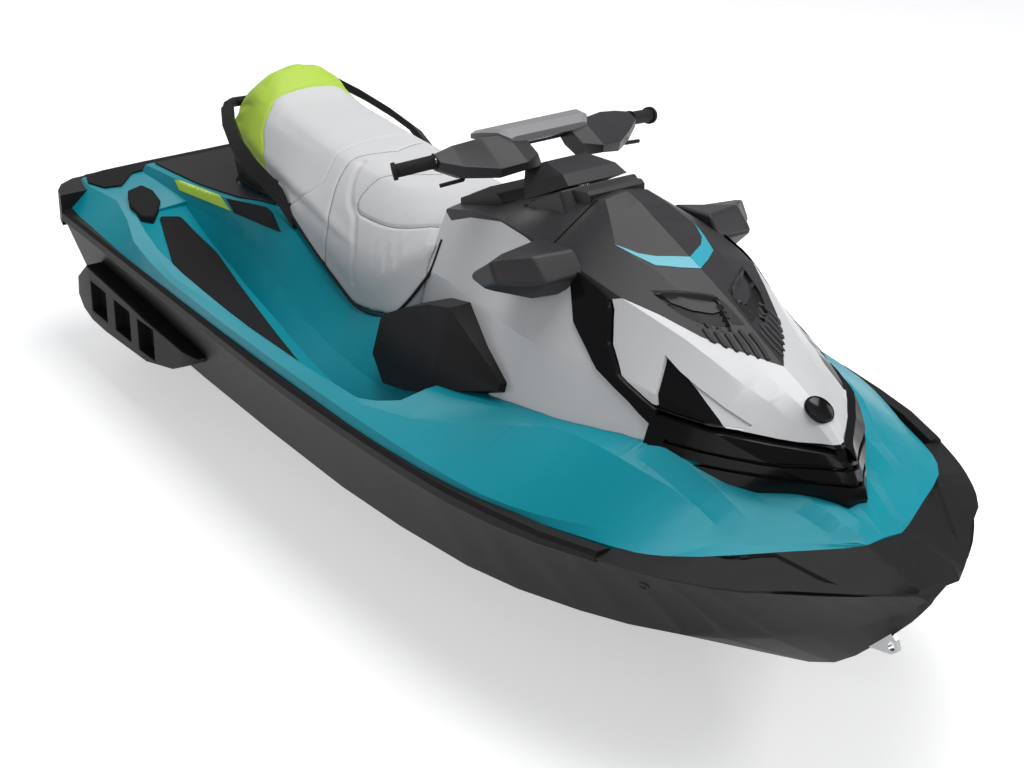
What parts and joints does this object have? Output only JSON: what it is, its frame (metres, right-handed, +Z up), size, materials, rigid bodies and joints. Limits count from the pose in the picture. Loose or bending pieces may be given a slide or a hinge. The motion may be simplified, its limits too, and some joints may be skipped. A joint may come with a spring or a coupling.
{
  "type": "personal watercraft",
  "caption": "Straddle-seat personal watercraft with jet drive, stepped seat, handlebar steering, mirrors and an opening front hood over a storage bin.",
  "frame": {"origin": "on the waterline at rest, on the centre plane, 1.45 m forward of the stern's aft edge", "axes": "+X port, +Y aft, +Z up"},
  "size_m": [1.2536, 3.314, 1.114],
  "materials": {
    "hull_gelcoat": "gloss gel coat, charcoal black",
    "deck_gelcoat": "gloss gel coat, blue-green",
    "black_plastic": "grained moulding",
    "bumper_rubber": "satin",
    "gloss_black": "gloss",
    "pale_panel": "semi-gloss white moulding",
    "charcoal_panel": "satin moulding",
    "bar_pad": "satin moulding",
    "seat_vinyl": "grained marine vinyl, light grey",
    "seat_lime": "grained marine vinyl, lime",
    "deck_mat": "grooved foam mat",
    "cast_aluminium": "cast, sealed",
    "stainless": "polished stainless",
    "engine_block": "plain block",
    "gauge_glass": "dark display window",
    "mirror_face": "mirror",
    "hand_rubber": "ribbed"
  },
  "bodies": {
    "craft": {"hull": "hull_gelcoat", "deck": "deck_gelcoat", "rub_rail": "bumper_rubber", "bow_bumper": "bumper_rubber", "stern_bumper": "bumper_rubber", "engine": "engine_block", "intake_grate": "cast_aluminium", "ride_plate": "cast_aluminium", "pump_housing": "cast_aluminium", "seat_back": "seat_lime", "seat_rear": "seat_vinyl", "seat_front": "seat_vinyl", "grab_handle": "black_plastic", "storage_bin": "black_plastic", "side_panels": "pale_panel", "dash": "charcoal_panel", "display": "gauge_glass", "front_grille": "gloss_black", "hinge_pin": "stainless", "cowl_band": "gloss_black", "speaker_boxes": "black_plastic", "mirrors": "charcoal_panel", "mirror_glass": "mirror_face", "sponsons": "black_plastic", "steering_stem": "stainless", "bow_eye": "stainless", "stern_eyes": "stainless", "drain_plugs": "black_plastic", "footwell_mats": "deck_mat", "step_pads": "deck_mat", "platform_mat": "deck_mat", "rear_deck_cover": "black_plastic"},
    "rotor": {"impeller": "stainless", "drive_shaft": "stainless"},
    "nozzle": {"nozzle": "cast_aluminium"},
    "gate": {"reverse_gate": "cast_aluminium"},
    "steering": {"handlebar": "stainless", "handlebar_cover": "charcoal_panel", "handlebar_pad": "bar_pad", "grips": "hand_rubber", "levers": "black_plastic"},
    "hood": {"hood_cover": "charcoal_panel", "nose_panel": "pale_panel", "nose_inserts": "gloss_black"}
  },
  "joints": [
    {"name": "impeller_spin", "type": "hinge", "parent": "craft", "child": "rotor", "pos_m": [0, 1.1, -0.08], "axis": [0, 1, 0], "continuous": true},
    {"name": "steering", "type": "hinge", "parent": "craft", "child": "steering", "pos_m": [0, -0.585, 0.735], "axis": [0, 0.454, 0.891], "range_deg": [-22, 22]},
    {"name": "nozzle_steer", "type": "hinge", "parent": "craft", "child": "nozzle", "pos_m": [0, 1.312, -0.08], "axis": [0, 0, 1], "range_deg": [-20, 20]},
    {"name": "gate_drop", "type": "hinge", "parent": "craft", "child": "gate", "pos_m": [0, 1.255, -0.08], "axis": [-1, 0, 0], "range_deg": [0, 65]},
    {"name": "hood_open", "type": "hinge", "parent": "craft", "child": "hood", "pos_m": [0, -1.555, 0.4], "axis": [1, 0, 0], "range_deg": [0, 45]}
  ],
  "couplings": [
    {"joint": "nozzle_steer", "follows": "steering", "ratio": -0.9}
  ]
}
